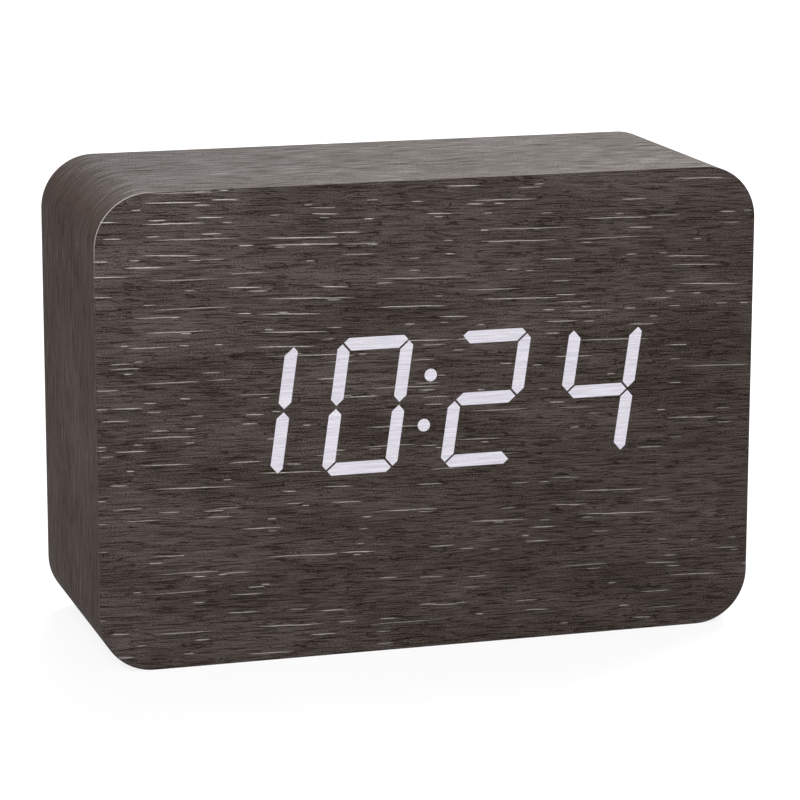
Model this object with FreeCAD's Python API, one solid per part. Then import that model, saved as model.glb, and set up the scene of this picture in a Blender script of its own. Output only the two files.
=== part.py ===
import FreeCAD, Part
import math
import os
from FreeCAD import Vector

# A block clock: a rounded wooden case whose digits shine through the front veneer.
# Frame: origin under the middle of the case, +X to the right seen from the front,
# +Y towards the back, +Z up. All lengths are in millimetres.

os.makedirs("parts", exist_ok=True)

# --- driving dimensions: case -------------------------------------------------------
case_width = 150.0
case_depth = 57.0
case_height = 105.0
corner_radius = 12.0
veneer = 0.6
front_wall = 6.0
pocket_margin = 2.0
pocket_radius = 5.0
cover_seat = 8.0
cover_recess = 1.6

# --- driving dimensions: display ----------------------------------------------------
display_shift = -1.32
display_rise = 3.4
digit_pitch = 26.05
pair_pitch = 27.1
digit_half_width = 7.15
digit_half_height = 13.8
digit_slant = 7.8
segment_width = 2.8
segment_gap = 0.32
segment_chamfer = 2.3
segment_lens = 2.0
dot_radius = 1.42
dot_rise = 5.58
colon_lift = 0.3
mask_margin = 2.2
mask_flange = 2.0
mask_rim = 3.4
mask_edge_radius = 2.0
led_length = 3.5
led_width = 1.2
led_height = 1.0

# --- driving dimensions: circuit boards and what they carry -------------------------
board_thickness = 1.6
main_board_width = 50.0
main_board_height = 68.0
board_hole_inset = 4.5
boss_radius = 2.8
switch_size = 6.0
switch_body_height = 3.4
switch_height = 5.0
switch_leg_reach = 1.2
switch_leg_width = 0.7
switch_leg_thickness = 0.3
switch_leg_pitch = 4.4
plunger_radius = 1.7
plunger_depth = 0.8
slide_body_length = 9.0
slide_body_width = 4.4
slide_body_height = 3.6
slide_slot_depth = 1.44
knob_length = 2.4
knob_width = 2.4
knob_standout = 0.84
knob_grooves = 3
slide_travel = 2.0
inlet_width = 7.6
inlet_height = 2.9
inlet_wall = 0.3
inlet_corner_radius = 0.97
inlet_setback = 0.5
inlet_tongue_setback = 1.0
inlet_tongue_width = 3.8
inlet_tongue_thickness = 0.6
buzzer_radius = 6.0
buzzer_height = 5.4
sound_hole_radius = 1.0
sound_hole_depth = 1.6
microphone_radius = 3.0
microphone_height = 2.7
capacitor_radius = 3.15
capacitor_height = 7.7
chip_length = 12.8
chip_width = 7.5
chip_height = 2.2
chip_legs = 8
leg_width = 0.5
leg_height = 0.5
leg_reach = 1.2
crystal_length = 11.0
crystal_width = 4.6
crystal_height = 3.4
crystal_radius = 2.07
sensor_length = 3.0
sensor_width = 1.6
sensor_height = 1.2
socket_length = 14.0
socket_width = 5.0
socket_height = 4.0
ribbon_width = 11.0
ribbon_thickness = 0.8
ribbon_bend = 7.0
lead_radius = 0.65
lead_bend = 3.0

# --- driving dimensions: rear cover, buttons and battery bay ------------------------
cover_wall = 2.5
cover_lip = 3.0
cover_rib = 1.6
cover_edge_break = 0.5
vent_width = 1.2
vent_pitch = 2.64
vent_slots = 4
grille_radius = 4.8
grille_slots = 5
grille_pitch = 2.0
microphone_hole_radius = 0.9
button_radius = 3.5
button_rim = 1.1
button_flange = 1.0
button_wing_height = 4.2
button_standout = 1.2
button_travel = 0.4
button_pitch = 13.0
button_edge_break = 0.3
cell_radius = 5.25
cell_length = 44.5
cell_nub_radius = 1.9
cell_nub_length = 1.0
cell_pitch = 11.2
cell_count = 3
spring_length = 4.6
spring_wire = 0.6
spring_turns = 2.5
coil_steps = 8
wire_sides = 5
spring_base_radius = 3.6
spring_tip_radius = 2.2
contact_thickness = 0.4
contact_width = 9.0
contact_dimple = 0.6
contact_tail_width = 2.0
bay_wall = 1.6
bay_skirt = 1.0
cradle_shares = (0.3, 0.75)
latch_wall = 2.6
door_wall = 2.0
hinge_barrel_radius = 1.1
hinge_pin_radius = 0.7
hinge_pin_length = 1.0
tongue_width = 13.0
tongue_length = 10.0
tongue_slit = 0.9
finger_scoop_depth = 1.0
grip_count = 4
grip_pitch = 1.6
grip_width = 0.8
grip_depth = 0.4
grip_inset = 1.2
grip_margin = 1.5
hook_thickness = 1.2
hook_tooth = 0.6
hook_reach = 1.4

# --- driving dimensions: screws and clearances ---------------------------------------
display_screw_radius = 1.1
display_screw_bite = 4.0
cover_screw_radius = 1.3
cover_screw_bite = 9.0
board_screw_radius = 1.1
board_screw_bite = 4.8
screw_head_ratio = 1.9
screw_head_height = 1.4
screw_head_proud = 0.15
screw_gap = 0.05
running_gap = 0.05
sliding_gap = 0.15
part_gap = 0.3
peg_sides = 8
fine_peg_sides = 20
same_place = 1e-6

# --- planes that the pieces share, from front to back ---------------------------------
front_y = -case_depth / 2
rear_y = case_depth / 2
veneer_back_y = front_y + veneer
rear_veneer_y = rear_y - veneer
wall_back_y = veneer_back_y + front_wall
mask_back_y = wall_back_y + mask_flange
display_board_back_y = mask_back_y + board_thickness
cover_out_y = rear_y - cover_recess
cover_in_y = cover_out_y - cover_wall
button_back_y = cover_in_y - 2 * running_gap - button_flange
board_top_y = button_back_y - switch_height
board_under_y = board_top_y - board_thickness
middle_z = case_height / 2

# --- display layout --------------------------------------------------------------------
display_z = middle_z + display_rise
slant = math.tan(math.radians(digit_slant))
inner_digit = pair_pitch / 2
outer_digit = inner_digit + digit_pitch
digit_centres = [display_shift + offset
                 for offset in (-outer_digit, -inner_digit, inner_digit, outer_digit)]
half_stroke = segment_width / 2
dot_heights = [colon_lift + side * dot_rise for side in (-1, 1)]
digits_half_width = outer_digit + digit_half_width + half_stroke + slant * digit_half_height
mask_width = 2 * (digits_half_width + mask_margin)
mask_height = 2 * (digit_half_height + half_stroke + mask_margin)
flange_width = mask_width + 2 * mask_rim
flange_height = mask_height + 2 * (mask_rim + display_screw_radius * screw_head_ratio)

# --- battery bay, pocket and cover layout --------------------------------------------------
bay_length = 2 * contact_thickness + spring_length + cell_length + contact_dimple
bay_half_height = cell_pitch * (cell_count - 1) / 2 + cell_radius + part_gap
hinge_wall = 2 * (hinge_barrel_radius + part_gap)
rear_parts_width = (main_board_width + 2 * pocket_margin + hinge_wall + bay_length
                    + latch_wall + bay_skirt)
pocket_width = max(flange_width + 2 * abs(display_shift), rear_parts_width) + 2 * pocket_margin
pocket_height = max(main_board_height, flange_height) + 2 * pocket_margin
seat_width = pocket_width + 2 * cover_seat
seat_height = pocket_height + 2 * cover_seat
seat_radius = pocket_radius + cover_seat / 2
bay_right = pocket_width / 2 - pocket_margin - latch_wall - bay_skirt
bay_left = bay_right - bay_length
door_inner_y = cover_out_y - door_wall
ledge_y = door_inner_y - 2 * running_gap
cell_y = cover_in_y - cell_radius
bay_floor_y = cell_y - cell_radius - part_gap
bay_under_y = bay_floor_y - bay_wall
opening_left = bay_left - hinge_wall
opening_right = bay_right + latch_wall
opening_half_height = bay_half_height + bay_wall
hinge_x = opening_left + part_gap + hinge_barrel_radius
hinge_y = cover_out_y - hinge_barrel_radius
door_right = opening_right - part_gap
door_half_height = opening_half_height - part_gap
cell_rows = [middle_z + cell_pitch * (row - (cell_count - 1) / 2) for row in range(cell_count)]

# --- main board layout ---------------------------------------------------------------------
board_left = -pocket_width / 2 + pocket_margin
board_right = board_left + main_board_width
board_low_z = middle_z - main_board_height / 2
board_high_z = middle_z + main_board_height / 2
boss_places = [(x, z)
               for x in (board_left + board_hole_inset, board_right - board_hole_inset)
               for z in (board_low_z + board_hole_inset, board_high_z - board_hole_inset)]
button_x = board_left + board_hole_inset + boss_radius + button_radius + button_rim
button_names = ["down", "up", "alarm", "set"]
button_rows = [middle_z + button_pitch * (row - (len(button_names) - 1) / 2)
               for row in range(len(button_names))]
right_column_x = board_right - board_hole_inset - buzzer_radius
buzzer_z = middle_z + button_pitch / 2
switch_z = board_high_z - board_hole_inset - boss_radius - slide_body_width
inlet_z = board_low_z + 2 * board_hole_inset
microphone_z = (buzzer_z + inlet_z) / 2 - microphone_radius
sensor_x = (button_x + right_column_x) / 2
knob_x = right_column_x - slide_travel / 2
button_out_y = cover_out_y + button_standout


def box(x0, x1, y0, y1, z0, z1):
    """A block between two opposite corners."""
    return Part.makeBox(x1 - x0, y1 - y0, z1 - z0, Vector(x0, y0, z0))


def rod(x, z, radius, y0, y1):
    """A cylinder along Y."""
    return Part.makeCylinder(radius, y1 - y0, Vector(x, y0, z), Vector(0, 1, 0))


def peg(x, z, radius, y0, y1, sides=peg_sides):
    """A small round piece or hole along Y, with flat sides."""
    turns = [2 * math.pi * (step + 0.5) / sides for step in range(sides)]
    return prism([(x + radius * math.cos(turn), z + radius * math.sin(turn)) for turn in turns],
                 y0, y1)


def slab(cx, cz, width, height, radius, y0, y1):
    """A plate in the XZ plane with rounded corners."""
    block = box(cx - width / 2, cx + width / 2, y0, y1, cz - height / 2, cz + height / 2)
    corners = [edge for edge in block.Edges if abs(edge.tangentAt(0).y) > 0.9]
    return block.makeFillet(radius, corners)


def prism(outline, y0, y1):
    """A polygon in the XZ plane, extruded along Y."""
    points = [Vector(x, y0, z) for x, z in outline]
    face = Part.Face(Part.makePolygon(points + points[:1]))
    return face.extrude(Vector(0, y1 - y0, 0))


def join(shapes):
    """One solid from pieces that touch or overlap."""
    return shapes[0].fuse(shapes[1:]).removeSplitter()


def route(points, bend):
    """A path of straight runs with a tangent arc at each corner."""
    edges = []
    start = points[0]
    for before, corner, after in zip(points, points[1:], points[2:]):
        into = (corner - before).normalize()
        out = (after - corner).normalize()
        turn = into.getAngle(out)
        reach = bend * math.tan(turn / 2)
        arc_start = corner - into * reach
        arc_end = corner + out * reach
        inward = (out - into).normalize()
        sagitta = bend / math.cos(turn / 2) - bend
        edges.append(Part.LineSegment(start, arc_start).toShape())
        edges.append(Part.Arc(arc_start, corner + inward * sagitta, arc_end).toShape())
        start = arc_end
    edges.append(Part.LineSegment(start, points[-1]).toShape())
    return Part.Wire(edges)


def screw(x, z, head_y, side, shank_radius, length):
    """A cheese-head screw along Y: side is +1 if its head faces +Y."""
    head_radius = shank_radius * screw_head_ratio
    head = sorted((head_y, head_y + side * screw_head_height))
    shank = sorted((head_y, head_y - side * length))
    return join([peg(x, z, head_radius, head[0], head[1]),
                 peg(x, z, shank_radius, shank[0], shank[1])])


def save(node, shapes):
    """Write one node: a single solid, or a group of like ones."""
    solids = [solid for shape in shapes for solid in shape.Solids]
    for solid in solids:
        if not solid.isValid():
            raise ValueError(node + " has a broken solid")
    whole = solids[0] if len(solids) == 1 else Part.makeCompound(solids)
    whole.exportStep("parts/" + node + ".step")
    print(node, len(solids), "solids,", round(whole.Volume / 1000, 3), "cm3")


# --- digits ----------------------------------------------------------------------------
# Seven bars per digit, lettered a to g as usual: top, upper right, lower right, bottom,
# lower left, upper left, middle. The bars meet in mitres with a thin web between them.

def upright_bar(side, rise):
    """An upright bar: side is +1 for the right one, rise is +1 for the upper one."""
    w = digit_half_width
    h = digit_half_height
    t = half_stroke
    g = segment_gap
    c = segment_chamfer
    outline = [(w, g), (w + t, g + t), (w + t, h + t - c),
               (w + t - (c - g) / 2, h + t - (c + g) / 2), (w - t, h - t - g), (w - t, g + t)]
    return [(side * u, rise * v) for u, v in outline]


def end_bar(rise):
    """The top or bottom bar: rise is +1 for the top one."""
    w = digit_half_width
    h = digit_half_height
    t = half_stroke
    g = segment_gap
    c = segment_chamfer
    right = [(w - t - g, h - t), (w + t - (c + g) / 2, h + t - (c - g) / 2), (w + t - c, h + t)]
    left = [(-u, v) for u, v in reversed(right)]
    return [(u, rise * v) for u, v in right + left]


def middle_bar():
    """The bar across the middle, pointed at both ends."""
    w = digit_half_width - segment_gap
    t = half_stroke
    return [(w, 0), (w - t, t), (t - w, t), (-w, 0), (t - w, -t), (w - t, -t)]


bars = {"a": end_bar(1), "b": upright_bar(1, 1), "c": upright_bar(1, -1), "d": end_bar(-1),
        "e": upright_bar(-1, -1), "f": upright_bar(-1, 1), "g": middle_bar()}
digit_names = ["hour_tens_digit", "hour_units_digit", "minute_tens_digit", "minute_units_digit"]
lit_letters = ["bc", "abcdef", "abdeg", "bcfg"]
upright_letters = "bcef"


def on_face(centre_x, u, v):
    """A point of a digit, leaned over, as a place on the front."""
    return centre_x + u + slant * v, display_z + v


def bar_solid(centre_x, letter, y0, y1):
    """One bar of one digit, from y0 to y1."""
    return prism([on_face(centre_x, u, v) for u, v in bars[letter]], y0, y1)


def dot_solids(y0, y1):
    """The two dots of the colon, from y0 to y1."""
    places = [on_face(display_shift, 0, v) for v in dot_heights]
    return [peg(x, z, dot_radius, y0, y1, fine_peg_sides) for x, z in places]


lens_back_y = veneer_back_y + segment_lens
lit_windows = dot_solids(front_y, lens_back_y)
save("colon_dots", lit_windows)
unlit = []
for name, centre_x, letters in zip(digit_names, digit_centres, lit_letters):
    lit = [bar_solid(centre_x, letter, front_y, lens_back_y) for letter in letters]
    save(name, lit)
    lit_windows = lit_windows + lit
    unlit += [bar_solid(centre_x, letter, veneer_back_y, lens_back_y)
              for letter in bars if letter not in letters]
save("unlit_segments", unlit)

# --- light box: black moulding with a shaft behind each bar and dot ---------------------
mask = join([slab(display_shift, display_z, mask_width, mask_height, mask_edge_radius,
                  veneer_back_y, mask_back_y),
             box(display_shift - flange_width / 2, display_shift + flange_width / 2,
                 wall_back_y, mask_back_y,
                 display_z - flange_height / 2, display_z + flange_height / 2)])
shafts = [bar_solid(centre_x, letter, veneer_back_y, mask_back_y)
          for centre_x in digit_centres for letter in bars]
mask = mask.cut(shafts + dot_solids(veneer_back_y, mask_back_y))
display_screw_places = [(display_shift + sx * (flange_width / 2 - mask_rim - display_screw_radius),
                         display_z + sz * (flange_height / 2 - display_screw_radius * screw_head_ratio))
                        for sx in (-1, 1) for sz in (-1, 1)]
screw_ways = [peg(x, z, display_screw_radius + screw_gap, wall_back_y, display_board_back_y)
              for x, z in display_screw_places]
save("segment_mask", [mask.cut(screw_ways)])

# --- display board, with one pair of light chips behind each bar --------------------------
display_board = box(display_shift - flange_width / 2, display_shift + flange_width / 2,
                    mask_back_y, display_board_back_y,
                    display_z - flange_height / 2, display_z + flange_height / 2)
save("display_board", [display_board.cut(screw_ways)])
leds = []
for centre_x in digit_centres:
    for letter, outline in bars.items():
        middle_u = sum(u for u, v in outline) / len(outline)
        middle_v = sum(v for u, v in outline) / len(outline)
        x, z = on_face(centre_x, middle_u, middle_v)
        half_x = (led_width if letter in upright_letters else led_length) / 2
        half_z = (led_length if letter in upright_letters else led_width) / 2
        leds.append(box(x - half_x, x + half_x, mask_back_y - led_height, mask_back_y,
                        z - half_z, z + half_z))
for v in dot_heights:
    x, z = on_face(display_shift, 0, v)
    leds.append(box(x - led_width / 2, x + led_width / 2, mask_back_y - led_height, mask_back_y,
                    z - led_width / 2, z + led_width / 2))
save("display_leds", leds)
save("display_screws", [screw(x, z, display_board_back_y, 1, display_screw_radius,
                              board_thickness + mask_flange + display_screw_bite)
                        for x, z in display_screw_places])


def chip(centre_x, centre_z, face_y, side):
    """A two-row chip on a board face: side is +1 if it stands towards +Y."""
    body_y = sorted((face_y, face_y + side * chip_height))
    leg_y = sorted((face_y, face_y + side * leg_height))
    body = box(centre_x - chip_length / 2, centre_x + chip_length / 2, body_y[0], body_y[1],
               centre_z - chip_width / 2, centre_z + chip_width / 2)
    leg_pitch = chip_length / chip_legs
    half_row = chip_width / 2 + leg_reach
    legs = []
    for leg in range(chip_legs):
        leg_x = centre_x + leg_pitch * (leg - (chip_legs - 1) / 2)
        legs.append(box(leg_x - leg_width / 2, leg_x + leg_width / 2, leg_y[0], leg_y[1],
                        centre_z - half_row, centre_z + half_row))
    return join([body] + legs)


driver_x = display_shift - inner_digit
ribbon_x = right_column_x
display_socket_z = display_z
board_socket_z = board_low_z + 3 * board_hole_inset
save("display_driver", [chip(driver_x - digit_pitch, display_z, display_board_back_y, 1)])

# --- ribbon cable between the two boards, one socket at each end ---------------------------
socket_y = display_board_back_y + socket_height
plug_y = board_under_y - socket_height


def socket(centre_z, y0, y1, slot_y0, slot_y1):
    """A cable socket with a slot for the ribbon's end."""
    body = box(ribbon_x - socket_length / 2, ribbon_x + socket_length / 2, y0, y1,
               centre_z - socket_width / 2, centre_z + socket_width / 2)
    slot = box(ribbon_x - ribbon_width / 2, ribbon_x + ribbon_width / 2, slot_y0, slot_y1,
               centre_z - ribbon_thickness / 2, centre_z + ribbon_thickness / 2)
    return body.cut(slot)


slot_depth = socket_height / 2
save("display_socket", [socket(display_socket_z, display_board_back_y, socket_y,
                               socket_y - slot_depth, socket_y)])
save("board_socket", [socket(board_socket_z, plug_y, board_under_y, plug_y, plug_y + slot_depth)])
bend_y = (plug_y + socket_y) / 2
ribbon_points = [Vector(ribbon_x, plug_y + slot_depth, board_socket_z),
                 Vector(ribbon_x, bend_y + ribbon_bend / 2, board_socket_z),
                 Vector(ribbon_x, bend_y - ribbon_bend / 2, display_socket_z),
                 Vector(ribbon_x, socket_y - slot_depth, display_socket_z)]
ribbon_end = [Vector(ribbon_x + sx * ribbon_width / 2, ribbon_points[0].y,
                     board_socket_z + sz * ribbon_thickness / 2)
              for sx, sz in ((-1, -1), (1, -1), (1, 1), (-1, 1))]
ribbon_section = Part.makePolygon(ribbon_end + ribbon_end[:1])
save("ribbon_cable", [route(ribbon_points, ribbon_bend).makePipeShell([ribbon_section], True, True)])

# --- rear cover: one moulding with the battery bay, bosses and button guides ---------------
plate = slab(0, middle_z, seat_width - 2 * part_gap, seat_height - 2 * part_gap,
             seat_radius - part_gap, cover_in_y, cover_out_y)
rim_edges = [edge for edge in plate.Edges
             if all(abs(vertex.Y - cover_out_y) < same_place for vertex in edge.Vertexes)]
plate = plate.makeChamfer(cover_edge_break, rim_edges)
lip = slab(0, middle_z, pocket_width - 2 * part_gap, pocket_height - 2 * part_gap,
           pocket_radius - part_gap, cover_in_y - cover_lip, cover_in_y)
lip = lip.cut(slab(0, middle_z, pocket_width - 2 * (part_gap + cover_rib),
                   pocket_height - 2 * (part_gap + cover_rib), pocket_radius - part_gap - cover_rib,
                   cover_in_y - cover_lip, cover_in_y))
bay_block = box(opening_left - bay_skirt, opening_right + bay_skirt, bay_under_y, cover_in_y,
                middle_z - opening_half_height - bay_skirt,
                middle_z + opening_half_height + bay_skirt)
bosses = [box(x - boss_radius, x + boss_radius, board_top_y, cover_in_y,
              z - boss_radius, z + boss_radius) for x, z in boss_places]
guide_radius = button_radius + button_rim + part_gap
guide_half = guide_radius + cover_rib / 2
wing_half = button_wing_height / 2
guide_bar = box(button_x - guide_half, button_x + guide_half, button_back_y, cover_in_y,
                button_rows[0] - guide_half, button_rows[-1] + guide_half)
moulding = join([plate, lip, bay_block, guide_bar] + bosses)

cradles = []
for share in cradle_shares:
    rib_x = bay_left + bay_length * share
    rib = box(rib_x - cover_rib / 2, rib_x + cover_rib / 2, bay_floor_y, cell_y,
              middle_z - bay_half_height, middle_z + bay_half_height)
    saddles = [Part.makeCylinder(cell_radius + sliding_gap, cover_rib,
                                 Vector(rib_x - cover_rib / 2, cell_y, z), Vector(1, 0, 0))
               for z in cell_rows]
    cradles.append(rib.cut(saddles))
cavity = box(bay_left, bay_right, bay_floor_y, cover_out_y,
             middle_z - bay_half_height, middle_z + bay_half_height).cut(cradles)
door_opening = box(opening_left, opening_right, ledge_y, cover_out_y,
                   middle_z - opening_half_height, middle_z + opening_half_height)
barrel_trough = box(opening_left, bay_left, cover_in_y, cover_out_y,
                    middle_z - opening_half_height, middle_z + opening_half_height)
pin_bore = Part.makeCylinder(hinge_pin_radius + running_gap,
                             2 * (opening_half_height + hinge_pin_length + part_gap),
                             Vector(hinge_x, hinge_y, middle_z - opening_half_height
                                    - hinge_pin_length - part_gap))
hook_low_y = cover_in_y - hook_reach
notch_half = tongue_width / 2 - latch_wall / 2
hook_notch = box(bay_right, opening_right + hook_tooth, hook_low_y - part_gap, cover_in_y,
                 middle_z - notch_half, middle_z + notch_half)
notch_above = box(bay_right, opening_right, cover_in_y, ledge_y,
                  middle_z - notch_half, middle_z + notch_half)
finger_scoop = rod(opening_right, middle_z, tongue_width / 2, cover_out_y - finger_scoop_depth,
                   cover_out_y)
cuts = [cavity, door_opening, barrel_trough, pin_bore, hook_notch, notch_above, finger_scoop]
cuts += [box(button_x - guide_radius, button_x + guide_radius, button_back_y, cover_in_y,
             z - wing_half - part_gap, z + wing_half + part_gap) for z in button_rows]
cuts += [peg(button_x, z, button_radius + sliding_gap, button_back_y, cover_out_y, fine_peg_sides)
         for z in button_rows]
cuts += [peg(x, z, board_screw_radius + screw_gap, board_top_y, board_top_y + board_screw_bite)
         for x, z in boss_places]
for step in range(grille_slots):
    offset = grille_pitch * (step - (grille_slots - 1) / 2)
    half_length = math.sqrt(grille_radius ** 2 - offset ** 2)
    cuts.append(box(right_column_x - half_length, right_column_x + half_length, cover_in_y,
                    cover_out_y, buzzer_z + offset - vent_width / 2,
                    buzzer_z + offset + vent_width / 2))
cuts.append(peg(right_column_x, microphone_z, microphone_hole_radius, cover_in_y, cover_out_y))
knob_slot_half = knob_length / 2 + sliding_gap
cuts.append(box(knob_x - knob_slot_half, knob_x + slide_travel + knob_slot_half,
                cover_in_y, cover_out_y, switch_z - knob_width / 2 - sliding_gap,
                switch_z + knob_width / 2 + sliding_gap))
cuts.append(slab(right_column_x, inlet_z, inlet_width + 2 * sliding_gap,
                 inlet_height + 2 * sliding_gap, inlet_corner_radius, cover_in_y, cover_out_y))
vent_length = 2 * button_rim + 2 * button_radius
for step in range(vent_slots):
    vent_z = middle_z + vent_pitch * (step - (vent_slots - 1) / 2)
    cuts.append(box(sensor_x - vent_length / 2, sensor_x + vent_length / 2, cover_in_y,
                    cover_out_y, vent_z - vent_width / 2, vent_z + vent_width / 2))
cover_screw_places = [(sx * (pocket_width + cover_seat) / 2,
                       middle_z + sz * (pocket_height / 2 - pocket_radius))
                      for sx in (-1, 1) for sz in (-1, 1)]
head_recess = screw_head_height - screw_head_proud
for x, z in cover_screw_places:
    cuts.append(peg(x, z, cover_screw_radius + screw_gap, cover_in_y, cover_out_y))
    cuts.append(peg(x, z, cover_screw_radius * screw_head_ratio + sliding_gap,
                    cover_out_y - head_recess, cover_out_y))
rear_cover = moulding.cut(cuts)

# --- case: a block milled from the back, with the display window through its front wall ----
core = slab(0, middle_z, case_width - 2 * veneer, case_height - 2 * veneer,
            corner_radius - veneer, veneer_back_y, rear_veneer_y)
pocket = slab(0, middle_z, pocket_width, pocket_height, pocket_radius, wall_back_y, rear_y)
seat = slab(0, middle_z, seat_width, seat_height, seat_radius, cover_in_y, rear_y)
window = slab(display_shift, display_z, mask_width + 2 * part_gap, mask_height + 2 * part_gap,
              mask_edge_radius + part_gap, veneer_back_y, wall_back_y)
pilots = [peg(x, z, display_screw_radius + screw_gap, wall_back_y - display_screw_bite,
              wall_back_y) for x, z in display_screw_places]
pilots += [peg(x, z, cover_screw_radius + screw_gap, cover_in_y - cover_screw_bite, cover_in_y)
           for x, z in cover_screw_places]
save("case_core", [core.cut([pocket, seat, window] + pilots)])

outline = slab(0, middle_z, case_width, case_height, corner_radius, front_y, veneer_back_y)
save("front_veneer", [outline.cut(lit_windows)])
rear_outline = slab(0, middle_z, case_width, case_height, corner_radius, rear_veneer_y, rear_y)
save("rear_veneer", [rear_outline.cut(seat)])
band = slab(0, middle_z, case_width, case_height, corner_radius, veneer_back_y, rear_veneer_y)
base_half = case_width / 2 - corner_radius
base_strip = box(-base_half, base_half, veneer_back_y, rear_veneer_y, 0, veneer)
save("side_veneer", [band.cut([core, base_strip])])
save("base_veneer", [base_strip])

# --- screws of the cover and of the main board ----------------------------------------------
save("cover_screws", [screw(x, z, cover_out_y - head_recess, 1, cover_screw_radius,
                            cover_wall - head_recess + cover_screw_bite)
                      for x, z in cover_screw_places])
save("board_screws", [screw(x, z, board_under_y, -1, board_screw_radius,
                            board_thickness + board_screw_bite - part_gap)
                      for x, z in boss_places])

# --- main board and its components ------------------------------------------------------------
main_board = box(board_left, board_right, board_under_y, board_top_y, board_low_z, board_high_z)
board_holes = [peg(x, z, board_screw_radius + screw_gap, board_under_y, board_top_y)
               for x, z in boss_places]
save("main_board", [main_board.cut(board_holes)])
save("clock_chip", [chip(button_x + chip_length / 2, middle_z, board_under_y, -1)])
crystal = slab(button_x + chip_length / 2, middle_z + chip_width + crystal_width, crystal_length,
               crystal_width, crystal_radius, board_under_y - crystal_height, board_under_y)
save("clock_crystal", [crystal])
save("smoothing_capacitor", [peg(button_x + capacitor_radius, board_low_z + 3 * capacitor_radius,
                                 capacitor_radius, board_under_y - capacitor_height,
                                 board_under_y, fine_peg_sides)])
buzzer = peg(right_column_x, buzzer_z, buzzer_radius, board_top_y, board_top_y + buzzer_height,
             fine_peg_sides)
sound_hole = peg(right_column_x, buzzer_z, sound_hole_radius,
                 board_top_y + buzzer_height - sound_hole_depth, board_top_y + buzzer_height)
save("buzzer", [buzzer.cut(sound_hole)])
save("microphone", [peg(right_column_x, microphone_z, microphone_radius, board_top_y,
                        board_top_y + microphone_height, fine_peg_sides)])
save("temperature_sensor", [box(sensor_x - sensor_length / 2, sensor_x + sensor_length / 2,
                                board_top_y, board_top_y + sensor_height,
                                middle_z - sensor_width / 2, middle_z + sensor_width / 2)])

# --- power inlet: a bent metal shell round an insulating tongue ---------------------------------
inlet_mouth_y = cover_out_y - inlet_setback
shell = slab(right_column_x, inlet_z, inlet_width, inlet_height, inlet_corner_radius,
             board_top_y, inlet_mouth_y)
bore = slab(right_column_x, inlet_z, inlet_width - 2 * inlet_wall, inlet_height - 2 * inlet_wall,
            inlet_corner_radius - inlet_wall, board_top_y, inlet_mouth_y)
save("inlet_shell", [shell.cut(bore)])
insulator = slab(right_column_x, inlet_z, inlet_width - 2 * inlet_wall,
                 inlet_height - 2 * inlet_wall, inlet_corner_radius - inlet_wall,
                 board_top_y, board_top_y + switch_body_height)
tongue = box(right_column_x - inlet_tongue_width / 2, right_column_x + inlet_tongue_width / 2,
             board_top_y, inlet_mouth_y - inlet_tongue_setback,
             inlet_z - inlet_tongue_thickness / 2, inlet_z + inlet_tongue_thickness / 2)
save("inlet_tongue", [join([insulator, tongue])])

# --- push buttons over their switches --------------------------------------------------------------
switch_top_y = board_top_y + switch_body_height
bore_depth = plunger_depth + button_travel + part_gap
switches = []
for z in button_rows:
    half = switch_size / 2
    body = box(button_x - half, button_x + half, board_top_y, switch_top_y, z - half, z + half)
    legs = [box(button_x - half - switch_leg_reach, button_x + half + switch_leg_reach,
                board_top_y, board_top_y + switch_leg_thickness,
                z + (side * switch_leg_pitch - switch_leg_width) / 2,
                z + (side * switch_leg_pitch + switch_leg_width) / 2) for side in (-1, 1)]
    body = join([body] + legs)
    switches.append(body.cut(peg(button_x, z, plunger_radius + running_gap,
                                 switch_top_y - bore_depth, switch_top_y)))
save("button_switches", switches)
for name, z in zip(button_names, button_rows):
    cap = peg(button_x, z, button_radius, button_back_y, button_out_y, fine_peg_sides)
    rim = [edge for edge in cap.Edges if abs(edge.CenterOfMass.y - button_out_y) < same_place]
    cap = cap.makeChamfer(button_edge_break, rim)
    wings = box(button_x - button_radius - button_rim, button_x + button_radius + button_rim,
                button_back_y, button_back_y + button_flange, z - wing_half, z + wing_half)
    save(name + "_button", [join([cap, wings])])
    save(name + "_plunger", [peg(button_x, z, plunger_radius, switch_top_y - plunger_depth,
                                 button_back_y)])

# --- slide switch for the power-saving mode ----------------------------------------------------------
slide_top_y = board_top_y + slide_body_height
slide_half = slide_body_length / 2
slide_body = box(right_column_x - slide_half, right_column_x + slide_half, board_top_y,
                 slide_top_y, switch_z - slide_body_width / 2, switch_z + slide_body_width / 2)
slide_slot = box(knob_x - knob_slot_half, knob_x + slide_travel + knob_slot_half,
                 slide_top_y - slide_slot_depth, slide_top_y,
                 switch_z - knob_width / 2 - running_gap, switch_z + knob_width / 2 + running_gap)
save("slide_switch_body", [slide_body.cut(slide_slot)])
knob_top_y = cover_out_y + knob_standout
knob = box(knob_x - knob_length / 2, knob_x + knob_length / 2,
           slide_top_y - slide_slot_depth + 2 * running_gap, knob_top_y,
           switch_z - knob_width / 2, switch_z + knob_width / 2)
groove = knob_length / (2 * knob_grooves + 1)
groove_starts = [knob_x - knob_length / 2 + groove * (2 * step + 1) for step in range(knob_grooves)]
grooves = [box(x, x + groove, knob_top_y - groove, knob_top_y, switch_z - knob_width / 2,
               switch_z + knob_width / 2) for x in groove_starts]
save("slide_switch_knob", [knob.cut(grooves)])

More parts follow.
